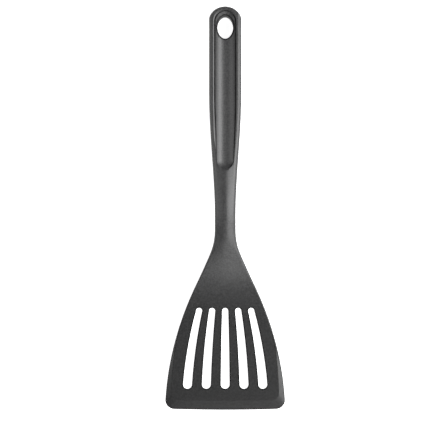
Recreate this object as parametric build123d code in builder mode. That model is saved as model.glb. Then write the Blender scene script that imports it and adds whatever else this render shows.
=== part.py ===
"""A slotted grill spatula, lying on its blade with the food side up.

X is the width, +Y runs from the blade's tip to the end of the handle and Z is up. The origin is on the
surface that the spatula lies on, below the middle of its length. Millimetres.

The nylon body is lofted through sections across its length. Each measure of a section, such as its half width
or the height of its top, is a smooth curve along the spatula, given at a few places by value and slope.
Places along the length are measured from the tip.
"""

from build123d import *
from bisect import bisect_right
from math import cos, radians, sin, sqrt
import os

# ---- overall sizes ----
BLADE_LENGTH = 78  # flat on the table
SHOULDER_LENGTH = 54  # climbs from the blade to the neck
NECK_LENGTH = 47  # to the step where the grip begins
HANDLE_LENGTH = 121
BLADE_WIDTH = 90  # where the sides would meet the tip, before its corners are rounded
NECK_WIDTH = 15.4
HANDLE_WIDTH = 24
BLADE_THICKNESS = 2.3
NECK_THICKNESS = 7.2
HANDLE_THICKNESS = 13.6
ARCH_HEIGHT = 12.4  # clear height under the neck

# ---- blade ----
TIP_CORNER_RADIUS = 7
TIP_BULGE = 0.8  # the tip is a shallow arc, this much further out in its middle
TIP_EDGE = 1.0  # thickness of the beveled edge
TIP_BEVEL = 7.5
SIDE_BEVEL = 4.6
BEVEL_CORNER_RADIUS = 5  # of the bevel's inner corners
BEVEL_CLEAR = 0.4  # the cut has left the blade's sides by this where it ends
BEVEL_INSETS = (-0.4, 1.4)  # shares of the bevel: the cut starts below its edge and ends above its crease
BEVEL_MARGIN = 8  # from where the side bevels run out to the shoulder
SLOT_COUNT = 5
SLOT_PITCH_SHARE = 0.322  # of the blade's half width, so that the slots fan out with its sides
SLOT_WIDTH_SHARE = 0.15
SLOT_FROM_TIP = 15.6
SLOT_MARGIN = 2  # from the slots' ends to the shoulder
SLOT_CHAMFER = 0.5

# ---- handle and neck ----
NECK_CROWN = 1.3  # height of the neck's ridge above its edges
HANDLE_CROWN = 0.3
BLADE_EDGE_ROUNDING = 0.8
DRAFT = 0.06  # of the sides, away from the widest line
EASING = 0.7  # of the face's slope, kept where its rounding starts
CORNER = 0.08  # least slope change there
RIDGE = 2.4  # the face is a roof with a soft ridge, sharper with more of this
RAIL_WIDTH = 3.75  # rounded rail on each side of the grip pad
HANDLE_FALL = 0.05  # slope of the handle's top, down to its end
HANDLE_END_DEPTH = 11  # of the half oval that ends it
END_ROLL = 2.4  # its top edge is rolled over by this
END_FOOT_ROLL = 1.2  # and its bottom edge by this
END_SIDE_OVERCUT = 0.2  # keeps the half oval off the handle's sides
END_ROLL_ANGLES = (90, 65, 40, 20, 0)  # steps of a rolled edge, in degrees
TABLE_OVERCUT = 0.6  # the loft dips below the table by this, and is cut flat there

# ---- grip pad and carrier, as depths below the rails ----
RAIL_REVEAL = 0.9  # edge of the pad
RAIL_BEVEL = 1.5  # sloping inner face of the rails, seen from above
RAIL_BEVEL_DROP = 0.6
PARTING_WIDTH = 0.9  # open channel round the pad
PARTING_DEPTH = 1.0  # below the pad's edge
GROOVE_DEPTH = 2.9  # of the pad's hollow, below its edge
PAD_BOTTOM = 4.6
SEAT_DEPTH = 6.0
SEAT_END_RIM = 3.0  # nylon left at the end of the handle
SEAT_CLEARANCE = 0.1

# ---- hanging hole and eyelet ----
PAD_BESIDE_EYELET = 1.25  # narrowest strip of the grip, which sets the hole's width from the handle's
HOLE_LENGTH = 17.0
HOLE_FROM_END = 15.3
EYELET_WALL = 1.0
EYELET_DEPTH = 9.4
EYELET_PROUD = 0.3  # its rim above the pad
EYELET_CLEARANCE = 0.1

# ---- core strip, its rivets and the carrier's studs ----
CORE_WIDTH = 7
CORE_THICKNESS = 1.0
CORE_INTO_NECK = 8
CORE_SHORT_OF_HOLE = 4
STUD_DIAMETER = 4
STUD_BITE = 1.2  # into the nylon below the core
STUD_CLEARANCE = 0.1
RIVET_DIAMETER = 3
RIVET_BORE = 1.6
RIVET_BITE = 1.4
RIVET_HEAD_DIAMETER = 5
RIVET_HEAD_HEIGHT = 0.8
RIVET_HEAD_CLEARANCE = 0.2
STUD_INSET = 16  # from the start of the grip
STUD_END_INSET = 8  # from the end of the core
RIVET_INSET = 32

# ---- shares that shape the curves ----
WAIST_AT = 0.26  # of the shoulder's length: its sides have bent in and run straight from here
WAIST_TUCK = 4  # half width less than halfway between blade and neck there
WAIST_SLOPE = 0.475
TAPER_AT = 0.7  # and from here they bend out into the neck
TAPER_LEFT = 0.26  # of the width still to lose
TAPER_SLOPE = 0.43
NECK_FLARE = 0.1
SIDE_FALL = 0.03  # slope of the blade's sides at the tip and of the neck's at its start
NECK_MIDDLE_AT = 0.25  # of the neck's length: its narrowest and highest place
GRIP_FULL_AT = 0.46  # of the handle's length: where it reaches its full width
CLIMB_TOP = 0.3  # of the arch, reached halfway up the shoulder
CLIMB_TOP_SLOPE = 0.41
CLIMB_BOTTOM = 0.34
CLIMB_BOTTOM_SLOPE = 0.33
NECK_TOP_SLOPE = 0.02
ARCH_LEFT = 0.76  # of the arch, where the grip begins
ARCH_SLOPE = 0.1
FOOT_FROM_END = 30  # the back of the handle comes down to the table here
FOOT_HEIGHT = 0.3
FOOT_SLOPE = 0.05
CROWN_FADE = 0.5  # of the neck's length past its end, where its ridge has faded
NECK_ROUNDING = 0.35  # widths and depths of the roundings between face and side
NECK_ROUNDING_DEPTH = 0.34
RAIL_ROUNDING = 0.7
RAIL_ROUNDING_DEPTH = 0.19
BACK_ROUNDING = 0.4
BACK_CROWN = 0.125
BLADE_BACK_CROWN = 0.05  # nearly flat
BLADE_STATIONS = 6  # sections of the loft
SHOULDER_STATIONS = 12
HANDLE_STATIONS = 12
OUTLINE_POINTS = 6  # on each side of a curved outline

# ---- places along the length ----
SHOULDER_END = BLADE_LENGTH + SHOULDER_LENGTH
NECK_END = SHOULDER_END + NECK_LENGTH
LENGTH = NECK_END + HANDLE_LENGTH
NECK_MIDDLE = SHOULDER_END + NECK_LENGTH * NECK_MIDDLE_AT
GRIP_FULL = NECK_END + HANDLE_LENGTH * GRIP_FULL_AT
FOOT = LENGTH - FOOT_FROM_END
BEVEL_END = BLADE_LENGTH - BEVEL_MARGIN
BEVEL_STOP = BEVEL_END - BEVEL_MARGIN / 2  # the cut is off the blade's sides by here
SLOT_END = BLADE_LENGTH - SLOT_MARGIN
HOLE_AT = LENGTH - HOLE_FROM_END
CORE_START = NECK_END - CORE_INTO_NECK
CORE_END = HOLE_AT - HOLE_LENGTH / 2 - EYELET_WALL - CORE_SHORT_OF_HOLE
STUDS_AT = (NECK_END + STUD_INSET, CORE_END - STUD_END_INSET)
RIVETS_AT = (NECK_END + RIVET_INSET, CORE_END - RIVET_INSET)

ARCH_TOP = ARCH_HEIGHT + NECK_THICKNESS
HANDLE_TOP_START = HANDLE_THICKNESS + HANDLE_FALL * (FOOT - NECK_END)


def curve(*knots):
    """A smooth function along the length through knots of (place, value, slope)."""
    places = [knot[0] for knot in knots]

    def value_at(place):
        i = min(max(bisect_right(places, place) - 1, 0), len(knots) - 2)
        (a, value_a, slope_a), (b, value_b, slope_b) = knots[i : i + 2]
        t = (place - a) / (b - a)
        rise = t * t * (3 - 2 * t)
        bend_a = t * (1 - t) ** 2 * (b - a) * slope_a
        bend_b = t * t * (t - 1) * (b - a) * slope_b
        return value_a + (value_b - value_a) * rise + bend_a + bend_b

    return value_at


HALF_BLADE = BLADE_WIDTH / 2
HALF_NECK = NECK_WIDTH / 2
HALF_HANDLE = HANDLE_WIDTH / 2
WAIST = (HALF_BLADE + HALF_NECK) / 2 - WAIST_TUCK

half_width = curve(
    (0, HALF_BLADE, -SIDE_FALL),
    (BLADE_LENGTH + WAIST_AT * SHOULDER_LENGTH, WAIST, -WAIST_SLOPE),
    (BLADE_LENGTH + TAPER_AT * SHOULDER_LENGTH, HALF_NECK + (WAIST - HALF_NECK) * TAPER_LEFT, -TAPER_SLOPE),
    (SHOULDER_END, HALF_NECK + NECK_FLARE, -SIDE_FALL),
    (NECK_MIDDLE, HALF_NECK, 0),
    (GRIP_FULL, HALF_HANDLE, 0),
    (LENGTH, HALF_HANDLE, 0),
)
top = curve(
    (0, BLADE_THICKNESS, 0),
    (BLADE_LENGTH, BLADE_THICKNESS, 0),
    (BLADE_LENGTH + SHOULDER_LENGTH / 2, BLADE_THICKNESS + ARCH_TOP * CLIMB_TOP, CLIMB_TOP_SLOPE),
    (NECK_MIDDLE, ARCH_TOP, NECK_TOP_SLOPE),
    (NECK_END, HANDLE_TOP_START, -HANDLE_FALL),
    (LENGTH, HANDLE_TOP_START - HANDLE_FALL * HANDLE_LENGTH, -HANDLE_FALL),
)
bottom = curve(
    (0, -TABLE_OVERCUT, 0),
    (BLADE_LENGTH, -TABLE_OVERCUT, 0),
    (BLADE_LENGTH + SHOULDER_LENGTH / 2, ARCH_HEIGHT * CLIMB_BOTTOM, CLIMB_BOTTOM_SLOPE),
    (NECK_MIDDLE, ARCH_HEIGHT, 0),
    (NECK_END, ARCH_HEIGHT * ARCH_LEFT, -ARCH_SLOPE),
    (FOOT, FOOT_HEIGHT, -FOOT_SLOPE),
    (LENGTH, -TABLE_OVERCUT, 0),
)
crown = curve(  # height of the middle of the face above its edges
    (0, 0, 0),
    (BLADE_LENGTH, 0, 0),
    (SHOULDER_END, NECK_CROWN, 0),
    (NECK_END, NECK_CROWN, 0),
    (NECK_END + NECK_LENGTH * CROWN_FADE, HANDLE_CROWN, 0),
    (LENGTH, HANDLE_CROWN, 0),
)
shoulder_width = curve(  # of the rounding between face and side
    (0, BLADE_EDGE_ROUNDING, 0),
    (BLADE_LENGTH, BLADE_EDGE_ROUNDING, 0),
    (NECK_MIDDLE, HALF_NECK * NECK_ROUNDING, 0),
    (GRIP_FULL, RAIL_WIDTH * RAIL_ROUNDING, 0),
    (LENGTH, RAIL_WIDTH * RAIL_ROUNDING, 0),
)
shoulder_drop = curve(
    (0, BLADE_EDGE_ROUNDING, 0),
    (BLADE_LENGTH, BLADE_EDGE_ROUNDING, 0),
    (NECK_MIDDLE, NECK_THICKNESS * NECK_ROUNDING_DEPTH, 0),
    (GRIP_FULL, HANDLE_THICKNESS * RAIL_ROUNDING_DEPTH, 0),
    (LENGTH, HANDLE_THICKNESS * RAIL_ROUNDING_DEPTH, 0),
)
back_inset = curve(  # from the side to where the back begins
    (0, BLADE_EDGE_ROUNDING / 2, 0),
    (BLADE_LENGTH, BLADE_EDGE_ROUNDING / 2, 0),
    (NECK_MIDDLE, HALF_NECK * BACK_ROUNDING, 0),
    (GRIP_FULL, HALF_HANDLE * BACK_ROUNDING, 0),
    (LENGTH, HALF_HANDLE * BACK_ROUNDING, 0),
)
back_crown = curve(
    (0, BLADE_BACK_CROWN, 0),
    (BLADE_LENGTH, BLADE_BACK_CROWN, 0),
    (NECK_MIDDLE, NECK_THICKNESS * BACK_CROWN, 0),
    (GRIP_FULL, HANDLE_THICKNESS * BACK_CROWN, 0),
    (LENGTH, HANDLE_THICKNESS * BACK_CROWN, 0),
)


def along(place):
    """The Y of a place measured from the tip."""
    return place - LENGTH / 2


def evenly(start, end, count):
    """count places from start to end, both included."""
    return [start + (end - start) * i / (count - 1) for i in range(count)]


def section(place):
    """The outline across the body: a crowned face, a rounding and a drafted side on each side, and the back.

    The edges meet at slight angles, so that each stays an edge of its own for the loft.
    """
    wide = half_width(place)
    inner = wide - shoulder_width(place)
    edge = top(place) - crown(place)
    low = edge - shoulder_drop(place)
    back = wide - back_inset(place)
    back_edge = bottom(place) + back_crown(place)
    peak = crown(place) * (1 + RIDGE) / RIDGE
    face_slope = peak / inner * EASING + CORNER
    back_slope = 2 * back_crown(place) / back * EASING + CORNER
    round_z = edge - (wide - inner) * face_slope
    side_z = back_edge + (wide - back) * back_slope
    round_x = wide - DRAFT * (round_z - low)
    side_x = wide - DRAFT * (low - side_z)
    Bezier((-inner, edge), (0, edge + peak), (inner, edge), weights=(1, RIDGE, 1))
    Bezier((back, back_edge), (0, back_edge - 2 * back_crown(place)), (-back, back_edge))
    for side in (-1, 1):
        Bezier((side * inner, edge), (side * round_x, round_z), (side * wide, low))
        Bezier((side * wide, low), (side * side_x, side_z), (side * back, back_edge))


handle_top = Plane(
    origin=(0, along(NECK_END), HANDLE_TOP_START), x_dir=(1, 0, 0), z_dir=(0, HANDLE_FALL, 1)
)
HALF_SEAT = HALF_HANDLE - RAIL_WIDTH
HALF_HOLE = HALF_SEAT - SEAT_CLEARANCE - PAD_BESIDE_EYELET - EYELET_CLEARANCE - EYELET_WALL
HALF_GROOVE = HALF_SEAT - SEAT_CLEARANCE - PARTING_WIDTH
GROOVE_RADIUS = (HALF_GROOVE**2 + GROOVE_DEPTH**2) / (2 * GROOVE_DEPTH)
GROOVE_BOTTOM = RAIL_REVEAL + GROOVE_DEPTH
CORE_BOTTOM = SEAT_DEPTH + CORE_THICKNESS
GROOVE_START = NECK_END + half_width(NECK_END) * HALF_SEAT / HALF_HANDLE  # its round ends fit the grip's
GROOVE_STOP = LENGTH - HANDLE_END_DEPTH


def depth(below):
    """The plane this far below the handle's rails."""
    return handle_top.offset(-below)


def on_handle(place):
    """The local Y of a place in the handle's own planes."""
    return (place - NECK_END) * sqrt(1 + HANDLE_FALL**2)


def seat_half_width(place):
    """Half width of the grip's seat: the rails narrow with the handle."""
    return half_width(place) * HALF_SEAT / HALF_HANDLE


def grip_outline(clearance=0):
    """A long U at the neck end, opening along the rails to a round end inside the end of the handle."""
    start = NECK_END + seat_half_width(NECK_END)
    edge = [
        (seat_half_width(place) - clearance, on_handle(place))
        for place in evenly(start, LENGTH - HANDLE_END_DEPTH, OUTLINE_POINTS)
    ]
    right = Spline(*edge)
    left = Spline(*[(-x, y) for x, y in edge])
    ThreePointArc(left @ 0, (0, on_handle(NECK_END + clearance)), right @ 0)
    ThreePointArc(left @ 1, (0, on_handle(LENGTH - SEAT_END_RIM - clearance)), right @ 1)


def slot_outline(share, grow=0):
    """A slot that keeps its share of the blade's half width, with round ends, larger all round by grow."""
    first_round = half_width(SLOT_FROM_TIP) * SLOT_WIDTH_SHARE / 2
    last_round = half_width(SLOT_END) * SLOT_WIDTH_SHARE / 2
    places = evenly(SLOT_FROM_TIP + first_round, SLOT_END - last_round, OUTLINE_POINTS)
    middles = [(share * half_width(place), slot_half_width(place, grow), along(place)) for place in places]
    left = Spline(*[(x - half, y) for x, half, y in middles])
    right = Spline(*[(x + half, y) for x, half, y in middles])
    start = SLOT_FROM_TIP - grow
    end = SLOT_END + grow
    ThreePointArc(left @ 0, (share * half_width(start), along(start)), right @ 0)
    ThreePointArc(left @ 1, (share * half_width(end), along(end)), right @ 1)


def slot_half_width(place, grow):
    """Half the slot's width at a place, which keeps its share of the blade."""
    return half_width(place) * SLOT_WIDTH_SHARE / 2 + grow


def bevel_outline(inset):
    """The blade's outline at one height of its bevel: the edge at inset 0, the crease on its face at 1."""
    start = TIP_BEVEL * inset
    places = evenly(start, BEVEL_END, OUTLINE_POINTS)
    fade = curve((0, SIDE_BEVEL, 0), (BEVEL_END, -BEVEL_CLEAR, -SIDE_BEVEL / BEVEL_END))
    right = Spline(*[(half_width(place) - fade(place) * inset, along(place)) for place in places])
    left = Spline(*[(fade(place) * inset - half_width(place), along(place)) for place in places])
    ThreePointArc(left @ 0, (0, along(start - TIP_BULGE)), right @ 0)
    Line(left @ 1, right @ 1)


def end_outline(roll):
    """What the handle's end leaves away at one height: a block with half an oval bitten out of it."""
    start = along(LENGTH - HANDLE_END_DEPTH)
    side = HALF_HANDLE + END_SIDE_OVERCUT
    oval_end = EllipticalCenterArc((0, start), side, HANDLE_END_DEPTH - roll, arc_size=180)
    Polyline(
        oval_end @ 1,
        (-HANDLE_WIDTH, start),
        (-HANDLE_WIDTH, along(LENGTH) + HANDLE_END_DEPTH),
        (HANDLE_WIDTH, along(LENGTH) + HANDLE_END_DEPTH),
        (HANDLE_WIDTH, start),
        oval_end @ 0,
    )


def core_outline():
    """The core strip seen from above, with round ends."""
    with Locations((0, on_handle((CORE_START + CORE_END) / 2))):
        SlotOverall(on_handle(CORE_END) - on_handle(CORE_START), CORE_WIDTH, rotation=90)


def circles(places, diameter, mode=Mode.ADD):
    """One circle on the centre line at each place along the handle."""
    with Locations(*[(0, on_handle(place)) for place in places]):
        Circle(diameter / 2, mode=mode)


def oval(grow=0, mode=Mode.ADD):
    """The hanging hole's oval, larger all round by grow."""
    with Locations((0, on_handle(HOLE_AT))):
        Ellipse(HALF_HOLE + grow, HOLE_LENGTH / 2 + grow, mode=mode)


END_TOP = top(LENGTH)


def end_levels():
    """(height, how far the handle's end is rolled back there), up its foot, its middle and its top edge."""
    turns = [radians(angle) for angle in END_ROLL_ANGLES]
    foot = [(END_FOOT_ROLL * (1 - sin(a)), END_FOOT_ROLL * (1 - cos(a))) for a in turns]
    edge = [(END_TOP - END_ROLL * (1 - sin(a)), END_ROLL * (1 - cos(a))) for a in reversed(turns)]
    below = (-END_FOOT_ROLL, 2 * END_FOOT_ROLL)
    above = (END_TOP + END_ROLL, 2 * END_ROLL)
    return [below] + foot + edge + [above]


def groove_plane(place):
    """The plane across the handle at a place, with its origin on the axis of the grip's round groove."""
    centre = (0, on_handle(place), GROOVE_RADIUS - GROOVE_BOTTOM)
    return Plane(
        origin=handle_top.from_local_coords(centre), x_dir=(1, 0, 0), z_dir=(0, 1, -HANDLE_FALL)
    )


def stations():
    """The places of the loft's sections, close together where the shoulder bends."""
    blade = evenly(0, BLADE_LENGTH, BLADE_STATIONS + 1)[:-1]
    shoulder = evenly(BLADE_LENGTH, NECK_MIDDLE, SHOULDER_STATIONS)
    handle = evenly(NECK_MIDDLE, LENGTH, HANDLE_STATIONS)[1:]
    return blade + shoulder + handle


with BuildPart() as bevel_cut:
    with BuildSketch(Plane.XY.offset(TIP_EDGE)):
        with Locations((0, along(0))):
            Rectangle(2 * BLADE_WIDTH, 2 * BEVEL_STOP)
    extrude(amount=BLADE_THICKNESS)
    for inset in BEVEL_INSETS:
        with BuildSketch(Plane.XY.offset(TIP_EDGE + (BLADE_THICKNESS - TIP_EDGE) * inset)):
            with BuildLine():
                bevel_outline(inset)
            make_face()
            fillet(vertices().group_by(Axis.Y)[0], BEVEL_CORNER_RADIUS)
    loft(ruled=True, mode=Mode.SUBTRACT)

with BuildPart() as turner_body:
    for place in stations():
        with BuildSketch(Plane.XZ.offset(-along(place))):
            with BuildLine():
                section(place)
            make_face()
    loft()
    split(bisect_by=Plane.XY)

    # round the tip's corners and give it its shallow arc
    half_tip = half_width(TIP_CORNER_RADIUS)
    with BuildSketch():
        with BuildLine():
            tip = ThreePointArc(
                (-half_tip, along(TIP_BULGE)), (0, along(0)), (half_tip, along(TIP_BULGE))
            )
            Polyline(tip @ 1, (half_tip, along(LENGTH)), (-half_tip, along(LENGTH)), tip @ 0)
        make_face()
        fillet(vertices().group_by(Axis.Y)[0], TIP_CORNER_RADIUS)
    extrude(amount=2 * ARCH_TOP, mode=Mode.INTERSECT)

    add(bevel_cut.part, mode=Mode.SUBTRACT)

    # end the handle in half an oval with rolled edges
    for height, roll in end_levels():
        with BuildSketch(Plane.XY.offset(height)):
            with BuildLine():
                end_outline(roll)
            make_face()
    loft(ruled=True, mode=Mode.SUBTRACT)

    # slots with chamfered rims
    for i in range(SLOT_COUNT):
        share = SLOT_PITCH_SHARE * (i - (SLOT_COUNT - 1) / 2)
        with BuildSketch():
            with BuildLine():
                slot_outline(share)
            make_face()
        extrude(amount=2 * BLADE_THICKNESS, mode=Mode.SUBTRACT)
        for grow in (0, 2 * SLOT_CHAMFER):
            with BuildSketch(Plane.XY.offset(BLADE_THICKNESS - SLOT_CHAMFER + grow)):
                with BuildLine():
                    slot_outline(share, grow)
                make_face()
        loft(ruled=True, mode=Mode.SUBTRACT)

    # seat of the grip, with a rim that slopes down to it
    with BuildSketch(depth(SEAT_DEPTH)):
        with BuildLine():
            grip_outline()
        make_face()
    extrude(amount=2 * SEAT_DEPTH, mode=Mode.SUBTRACT)
    for rise in (0, 2):
        with BuildSketch(depth(RAIL_BEVEL_DROP * (1 - rise))):
            with BuildLine():
                grip_outline(-RAIL_BEVEL * rise)
            make_face()
    loft(ruled=True, mode=Mode.SUBTRACT)

    # holes for the eyelet, the core, its rivets and the studs
    with BuildSketch(handle_top):
        oval()
    extrude(amount=2 * HANDLE_THICKNESS, both=True, mode=Mode.SUBTRACT)
    with BuildSketch(depth(EYELET_DEPTH)):
        oval(EYELET_WALL + EYELET_CLEARANCE)
    extrude(amount=EYELET_DEPTH, mode=Mode.SUBTRACT)
    with BuildSketch(depth(CORE_BOTTOM)):
        core_outline()
    extrude(amount=CORE_THICKNESS, mode=Mode.SUBTRACT)
    with BuildSketch(depth(CORE_BOTTOM)):
        circles(STUDS_AT, STUD_DIAMETER + 2 * STUD_CLEARANCE)
    extrude(amount=-STUD_BITE - STUD_CLEARANCE, mode=Mode.SUBTRACT)
    with BuildSketch(depth(CORE_BOTTOM)):
        circles(RIVETS_AT, RIVET_DIAMETER)
    extrude(amount=-RIVET_BITE, mode=Mode.SUBTRACT)

with BuildPart() as grip_pad:
    with BuildSketch(depth(PAD_BOTTOM)):
        with BuildLine():
            grip_outline(SEAT_CLEARANCE)
        make_face()
        oval(EYELET_WALL + EYELET_CLEARANCE, Mode.SUBTRACT)
    extrude(amount=PAD_BOTTOM - RAIL_REVEAL - PARTING_DEPTH)
    with BuildSketch(depth(RAIL_REVEAL + PARTING_DEPTH)):
        with BuildLine():
            grip_outline(SEAT_CLEARANCE + PARTING_WIDTH)
        make_face()
        oval(EYELET_WALL + EYELET_CLEARANCE, Mode.SUBTRACT)
    extrude(amount=PARTING_DEPTH)
    with BuildSketch(groove_plane(GROOVE_START)):
        Circle(GROOVE_RADIUS)
    extrude(amount=on_handle(GROOVE_STOP) - on_handle(GROOVE_START), mode=Mode.SUBTRACT)
    with Locations(groove_plane(GROOVE_START), groove_plane(GROOVE_STOP)):
        Sphere(GROOVE_RADIUS, mode=Mode.SUBTRACT)

with BuildPart() as grip_carrier:
    with BuildSketch(depth(SEAT_DEPTH)):
        with BuildLine():
            grip_outline(SEAT_CLEARANCE)
        make_face()
        oval(EYELET_WALL + EYELET_CLEARANCE, Mode.SUBTRACT)
    extrude(amount=SEAT_DEPTH - PAD_BOTTOM)
    with BuildSketch(depth(SEAT_DEPTH)):
        circles(STUDS_AT, STUD_DIAMETER)
    extrude(amount=-CORE_THICKNESS - STUD_BITE)
    with BuildSketch(depth(SEAT_DEPTH)):
        circles(RIVETS_AT, RIVET_HEAD_DIAMETER + 2 * RIVET_HEAD_CLEARANCE)
    extrude(amount=RIVET_HEAD_HEIGHT + RIVET_HEAD_CLEARANCE, mode=Mode.SUBTRACT)

with BuildPart() as core_strip:
    with BuildSketch(depth(CORE_BOTTOM)):
        core_outline()
        circles(STUDS_AT, STUD_DIAMETER + 2 * STUD_CLEARANCE, Mode.SUBTRACT)
        circles(RIVETS_AT, RIVET_DIAMETER, Mode.SUBTRACT)
    extrude(amount=CORE_THICKNESS)

with BuildPart() as core_rivets:
    with BuildSketch(depth(SEAT_DEPTH)):
        circles(RIVETS_AT, RIVET_HEAD_DIAMETER)
    extrude(amount=RIVET_HEAD_HEIGHT)
    with BuildSketch(depth(SEAT_DEPTH)):
        circles(RIVETS_AT, RIVET_DIAMETER)
    extrude(amount=-CORE_THICKNESS - RIVET_BITE)
    with BuildSketch(depth(SEAT_DEPTH)):
        circles(RIVETS_AT, RIVET_BORE)
    extrude(amount=HANDLE_THICKNESS, both=True, mode=Mode.SUBTRACT)

with BuildPart() as hanging_eyelet:
    with BuildSketch(depth(EYELET_DEPTH)):
        oval(EYELET_WALL)
        oval(mode=Mode.SUBTRACT)
    extrude(amount=EYELET_DEPTH)
    with BuildSketch(groove_plane(GROOVE_START)):
        Circle(GROOVE_RADIUS - EYELET_PROUD)
    extrude(amount=on_handle(GROOVE_STOP) - on_handle(GROOVE_START), mode=Mode.SUBTRACT)
    with Locations(groove_plane(GROOVE_STOP)):
        Sphere(GROOVE_RADIUS - EYELET_PROUD, mode=Mode.SUBTRACT)

pieces = {
    "turner_body": turner_body,
    "grip_pad": grip_pad,
    "grip_carrier": grip_carrier,
    "core_strip": core_strip,
    "core_rivets": core_rivets,
    "hanging_eyelet": hanging_eyelet,
}
os.makedirs("parts", exist_ok=True)
for name, piece in pieces.items():
    piece.part.label = name
    export_step(piece.part, f"parts/{name}.step")
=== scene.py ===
"""Looks of the grill spatula: satin charcoal nylon on a white floor that glows, lit from the right."""

import bpy
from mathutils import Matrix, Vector

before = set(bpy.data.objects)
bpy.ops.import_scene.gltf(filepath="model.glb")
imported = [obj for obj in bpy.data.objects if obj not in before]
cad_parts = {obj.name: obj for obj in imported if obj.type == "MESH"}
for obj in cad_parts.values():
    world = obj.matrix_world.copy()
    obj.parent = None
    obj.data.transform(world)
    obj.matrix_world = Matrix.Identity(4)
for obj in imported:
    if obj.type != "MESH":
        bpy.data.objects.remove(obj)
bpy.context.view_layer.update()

MM = 0.001


# ---------------------------------------------------------------- node helpers
def new_material(name):
    material = bpy.data.materials.new(name)
    material.use_nodes = True
    tree = material.node_tree
    tree.nodes.clear()
    out = tree.nodes.new("ShaderNodeOutputMaterial")
    shader = tree.nodes.new("ShaderNodeBsdfPrincipled")
    tree.links.new(shader.outputs["BSDF"], out.inputs["Surface"])
    return material, tree, shader


def noise(tree, coordinates, scale, detail=3.0, roughness=0.55, stretch=None):
    """Noise of about this many bumps a metre, in object coordinates, stretched along an axis if asked."""
    if stretch:
        mapping = tree.nodes.new("ShaderNodeMapping")
        mapping.inputs["Scale"].default_value = stretch
        tree.links.new(coordinates, mapping.inputs["Vector"])
        coordinates = mapping.outputs["Vector"]
    node = tree.nodes.new("ShaderNodeTexNoise")
    node.inputs["Scale"].default_value = scale
    node.inputs["Detail"].default_value = detail
    node.inputs["Roughness"].default_value = roughness
    tree.links.new(coordinates, node.inputs["Vector"])
    return node.outputs["Fac"]


def remap(tree, value, low, high, to_low, to_high):
    node = tree.nodes.new("ShaderNodeMapRange")
    node.inputs["From Min"].default_value = low
    node.inputs["From Max"].default_value = high
    node.inputs["To Min"].default_value = to_low
    node.inputs["To Max"].default_value = to_high
    tree.links.new(value, node.inputs["Value"])
    return node.outputs["Result"]


def math_node(tree, operation, a, b=None):
    node = tree.nodes.new("ShaderNodeMath")
    node.operation = operation
    for socket, value in zip(node.inputs, (a, b)):
        if value is None:
            continue
        if isinstance(value, (int, float)):
            socket.default_value = value
        else:
            tree.links.new(value, socket)
    return node.outputs["Value"]


def mix_colour(tree, factor, a, b, blend="MIX"):
    node = tree.nodes.new("ShaderNodeMix")
    node.data_type = "RGBA"
    node.blend_type = blend
    node.clamp_factor = True
    if isinstance(factor, (int, float)):
        node.inputs[0].default_value = factor
    else:
        tree.links.new(factor, node.inputs[0])
    for socket, value in ((node.inputs[6], a), (node.inputs[7], b)):
        if isinstance(value, tuple):
            socket.default_value = (*value, 1)
        else:
            tree.links.new(value, socket)
    return node.outputs[2]


def edge_mask(tree, radius, low, high):
    """1 along the edges and corners, 0 on flat faces: where a rounded normal turns away from the true one."""
    rounded = tree.nodes.new("ShaderNodeBevel")
    rounded.samples = 6
    rounded.inputs["Radius"].default_value = radius
    geometry = tree.nodes.new("ShaderNodeNewGeometry")
    dot = tree.nodes.new("ShaderNodeVectorMath")
    dot.operation = "DOT_PRODUCT"
    tree.links.new(rounded.outputs["Normal"], dot.inputs[0])
    tree.links.new(geometry.outputs["Normal"], dot.inputs[1])
    return remap(tree, dot.outputs["Value"], low, high, 1, 0)


def along_y(tree, coordinates, start, end, to_low, to_high):
    """A value that goes from to_low to to_high between two places along the spatula, in metres."""
    split = tree.nodes.new("ShaderNodeSeparateXYZ")
    tree.links.new(coordinates, split.inputs[0])
    node = tree.nodes.new("ShaderNodeMapRange")
    node.interpolation_type = "SMOOTHSTEP"
    for socket, value in zip(node.inputs[1:5], (start, end, to_low, to_high)):
        socket.default_value = value
    tree.links.new(split.outputs["Y"], node.inputs["Value"])
    return node.outputs["Result"]


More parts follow.
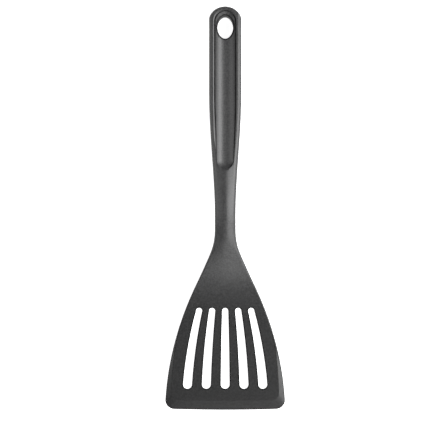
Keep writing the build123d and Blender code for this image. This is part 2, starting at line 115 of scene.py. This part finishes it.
def plastic(name, dark, light, rough, grain_height, wear_and_highlight_strength=0.35, scuffs=0.5, speck=0.5, darkened_span=None, ior=1.5):
    """Moulded plastic: mottled colour, uneven sheen, fine texture, paler edges that are part rubbed and part painted
    highlight, and faint scuffs.

    darkened_span is (start, end) along the length: the colour is darker before it, towards the tip, and the edges
    there get a dark, dull painted shade.
    """
    material, tree, shader = new_material(name)
    coordinates = tree.nodes.new("ShaderNodeTexCoord").outputs["Object"]
    cloud = noise(tree, coordinates, 60, 3, 0.5)
    mottle = noise(tree, coordinates, 800, 4, 0.7)
    fine = noise(tree, coordinates, 2600, 2, 0.6)
    scratch = noise(tree, coordinates, 60, 6, 0.7, stretch=(14, 1, 14))

    patchy = remap(tree, cloud, 0.3, 0.7, 0, 1)
    colour = mix_colour(tree, patchy, dark, light)
    grey = tuple(min(1.0, c * (1 + speck)) for c in light)
    colour = mix_colour(tree, remap(tree, mottle, 0.4, 0.6, 0, 1), colour, grey)
    if darkened_span:
        # The colour is multiplied down to 0.42 towards the tip, along the length.
        shade = along_y(tree, coordinates, *darkened_span, 0.42, 1)
        tone = tree.nodes.new("ShaderNodeCombineColor")
        for socket in tone.inputs:
            tree.links.new(shade, socket)
        colour = mix_colour(tree, 1.0, colour, tone.outputs["Color"], "MULTIPLY")
    # Paler edges: partly rubbed, partly a painted highlight along edges and creases.
    wear_and_highlight = edge_mask(tree, 0.5 * MM, 0.8, 0.995)
    wear_and_highlight = math_node(tree, "MULTIPLY", wear_and_highlight, remap(tree, mottle, 0.35, 0.65, 0.3, 1))
    if darkened_span:
        # Painted shade: towards the tip the blade's edges and slot rims are darkened and made duller, standing in for
        # shade on their rounded rims.
        edges = edge_mask(tree, 1.1 * MM, 0.96, 0.999)
        painted_edge_shade = math_node(tree, "MULTIPLY", edges, along_y(tree, coordinates, *darkened_span, 1, 0))
        colour = mix_colour(tree, painted_edge_shade, colour, tuple(c * 0.2 for c in dark))
        wear_and_highlight = math_node(tree, "MULTIPLY", wear_and_highlight, along_y(tree, coordinates, *darkened_span, 0, 1))
        tree.links.new(remap(tree, painted_edge_shade, 0, 1, 0.5, 0), shader.inputs["Specular IOR Level"])
    pale = tuple(min(1.0, c * 1.9) for c in light)
    colour = mix_colour(tree, math_node(tree, "MULTIPLY", wear_and_highlight, wear_and_highlight_strength), colour, pale)
    tree.links.new(colour, shader.inputs["Base Color"])

    sheen = remap(tree, mottle, 0.3, 0.7, rough - 0.05, rough + 0.06)
    scuffed = math_node(tree, "MULTIPLY", remap(tree, scratch, 0.56, 0.7, 0, 0.12), scuffs)
    sheen = math_node(tree, "ADD", sheen, scuffed)
    tree.links.new(sheen, shader.inputs["Roughness"])
    shader.inputs["IOR"].default_value = ior

    grain = math_node(tree, "ADD", math_node(tree, "MULTIPLY", mottle, 0.6), math_node(tree, "MULTIPLY", fine, 0.4))
    bump = tree.nodes.new("ShaderNodeBump")
    bump.inputs["Strength"].default_value = 1
    bump.inputs["Distance"].default_value = grain_height
    tree.links.new(grain, bump.inputs["Height"])
    wide = tree.nodes.new("ShaderNodeBump")
    wide.inputs["Strength"].default_value = 1
    wide.inputs["Distance"].default_value = grain_height * 2
    tree.links.new(cloud, wide.inputs["Height"])
    tree.links.new(bump.outputs["Normal"], wide.inputs["Normal"])
    tree.links.new(wide.outputs["Normal"], shader.inputs["Normal"])
    return material


def steel(name, tone, rough, brushed):
    """Stainless steel, brushed along its length."""
    material, tree, shader = new_material(name)
    coordinates = tree.nodes.new("ShaderNodeTexCoord").outputs["Object"]
    streaks = noise(tree, coordinates, 500, 4, 0.65, stretch=(8, 0.4, 8) if brushed else None)
    cloud = noise(tree, coordinates, 120, 3)
    tint = tuple(c * 0.8 for c in tone)
    tree.links.new(mix_colour(tree, remap(tree, streaks, 0.3, 0.7, 0, 1), tone, tint), shader.inputs["Base Color"])
    shader.inputs["Metallic"].default_value = 1
    streaked = remap(tree, streaks, 0.3, 0.7, rough, rough + 0.12)
    uneven = math_node(tree, "ADD", streaked, remap(tree, cloud, 0, 1, 0, 0.08))
    tree.links.new(uneven, shader.inputs["Roughness"])
    bump = tree.nodes.new("ShaderNodeBump")
    bump.inputs["Strength"].default_value = 1
    bump.inputs["Distance"].default_value = 0.01 * MM
    tree.links.new(streaks, bump.inputs["Height"])
    tree.links.new(bump.outputs["Normal"], shader.inputs["Normal"])
    return material


looks = {
    "turner_body": plastic(
        "nylon", (0.029, 0.029, 0.0295), (0.038, 0.038, 0.0385), 0.42, 0.03 * MM, darkened_span=(-0.084, -0.036)
    ),
    "grip_pad": plastic("grip", (0.034, 0.034, 0.0345), (0.044, 0.044, 0.0445), 0.42, 0.03 * MM),
    "grip_carrier": plastic("carrier_nylon", (0.020, 0.020, 0.021), (0.026, 0.026, 0.027), 0.55, 0.01 * MM),
    "core_strip": steel("core_steel", (0.56, 0.56, 0.57), 0.3, True),
    "core_rivets": steel("rivet_steel", (0.6, 0.6, 0.61), 0.25, False),
    "hanging_eyelet": plastic("eyelet_nylon", (0.012, 0.012, 0.012), (0.017, 0.017, 0.017), 0.6, 0.008 * MM, ior=1.3),
}
for name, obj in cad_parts.items():
    obj.data.materials.clear()
    obj.data.materials.append(looks[name])

# ---------------------------------------------------------------- camera, floor and light
scene = bpy.context.scene
camera_data = bpy.data.cameras.new("camera")
camera = bpy.data.objects.new("camera", camera_data)
scene.collection.objects.link(camera)
camera_data.sensor_width = 36
CAMERA_HEIGHT = 1.5
FRAME_WIDTH = 0.3344
camera_data.lens = 36 * CAMERA_HEIGHT / FRAME_WIDTH
camera.location = (-0.0009, -0.01145, CAMERA_HEIGHT)
camera.rotation_euler = (0, 0, 0)
camera_data.clip_start = 0.05
scene.camera = camera

floor_material, floor_tree, floor_shader = new_material("floor_white")
floor_shader.inputs["Base Color"].default_value = (0.9, 0.9, 0.9, 1)
floor_shader.inputs["Roughness"].default_value = 0.8
floor_shader.inputs["Emission Color"].default_value = (1, 1, 1, 1)  # a light table, so nothing casts a shadow on it
floor_shader.inputs["Emission Strength"].default_value = 0.95
bpy.ops.mesh.primitive_plane_add(size=80, location=(0, 0, -0.0002))
floor = bpy.context.object
floor.name = "floor"
floor.data.materials.append(floor_material)

world = bpy.data.worlds.new("studio")
world.use_nodes = True
background = world.node_tree.nodes["Background"]
background.inputs["Color"].default_value = (1, 1, 1, 1)
background.inputs["Strength"].default_value = 0.06
scene.world = world


def area(name, location, size, power, target=(0, 0, 0)):
    data = bpy.data.lights.new(name, "AREA")
    data.shape = "RECTANGLE"
    data.size, data.size_y = size
    data.energy = power
    light = bpy.data.objects.new(name, data)
    light.location = location
    light.rotation_euler = (Vector(target) - Vector(location)).to_track_quat("-Z", "Y").to_euler()
    scene.collection.objects.link(light)
    return light


area("key_right", (0.75, 0.16, 0.8), (0.45, 0.6), 12)
area("fill_left", (-1.1, 0.15, 0.8), (0.5, 0.9), 5)
area("fill_tip", (0.1, -1.0, 0.8), (0.6, 0.4), 4)
area("key_tip_right", (0.75, -0.55, 0.8), (0.4, 0.4), 6)

scene.view_settings.view_transform = "Standard"

bpy.context.view_layer.update()
